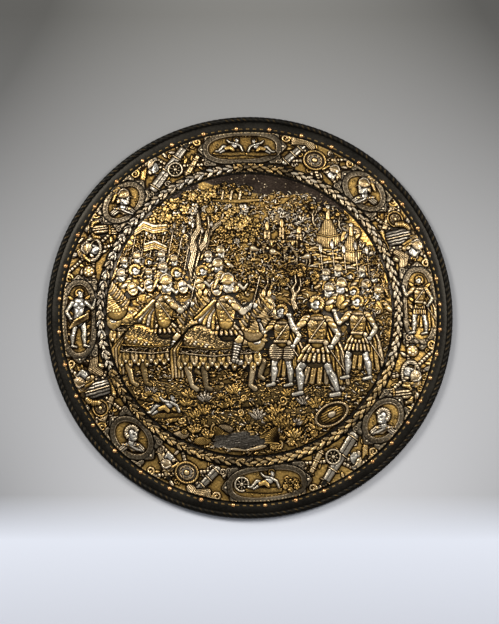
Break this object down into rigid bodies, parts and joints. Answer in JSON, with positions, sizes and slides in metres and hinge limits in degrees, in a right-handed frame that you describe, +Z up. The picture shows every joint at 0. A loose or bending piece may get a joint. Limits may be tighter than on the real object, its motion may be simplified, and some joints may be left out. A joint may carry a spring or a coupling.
{
  "type": "round embossed parade shield",
  "caption": "Round domed parade shield of embossed steel with a roped turned edge, lining rivets, a border of cartouches and trophies of arms, a wreath and a battle relief.",
  "frame": {"origin": "on the surface the shield lies on, under its centre", "axes": "+Z up, out of the embossed face; +Y towards the top of the relief; +X to its right"},
  "size_m": [0.59, 0.59, 0.0688],
  "materials": {
    "embossed_steel": "blackened steel, gilt and silvered on the relief, dark in the hollows",
    "rivet_brass": "gilt brass, rubbed bright on the crown"
  },
  "bodies": {
    "root": {"shield_plate": "embossed_steel", "rivet_01": "rivet_brass", "rivet_02": "rivet_brass", "rivet_03": "rivet_brass", "rivet_04": "rivet_brass", "rivet_05": "rivet_brass", "rivet_06": "rivet_brass", "rivet_07": "rivet_brass", "rivet_08": "rivet_brass", "rivet_09": "rivet_brass", "rivet_10": "rivet_brass", "rivet_11": "rivet_brass", "rivet_12": "rivet_brass", "rivet_13": "rivet_brass", "rivet_14": "rivet_brass", "rivet_15": "rivet_brass", "rivet_16": "rivet_brass", "rivet_17": "rivet_brass", "rivet_18": "rivet_brass", "rivet_19": "rivet_brass", "rivet_20": "rivet_brass", "rivet_21": "rivet_brass", "rivet_22": "rivet_brass", "rivet_23": "rivet_brass", "rivet_24": "rivet_brass", "rivet_25": "rivet_brass", "rivet_26": "rivet_brass", "rivet_27": "rivet_brass", "rivet_28": "rivet_brass", "rivet_29": "rivet_brass", "rivet_30": "rivet_brass", "rivet_31": "rivet_brass", "rivet_32": "rivet_brass", "rivet_33": "rivet_brass", "rivet_34": "rivet_brass", "rivet_35": "rivet_brass", "rivet_36": "rivet_brass", "rivet_37": "rivet_brass", "rivet_38": "rivet_brass", "rivet_39": "rivet_brass"}
  },
  "joints": []
}
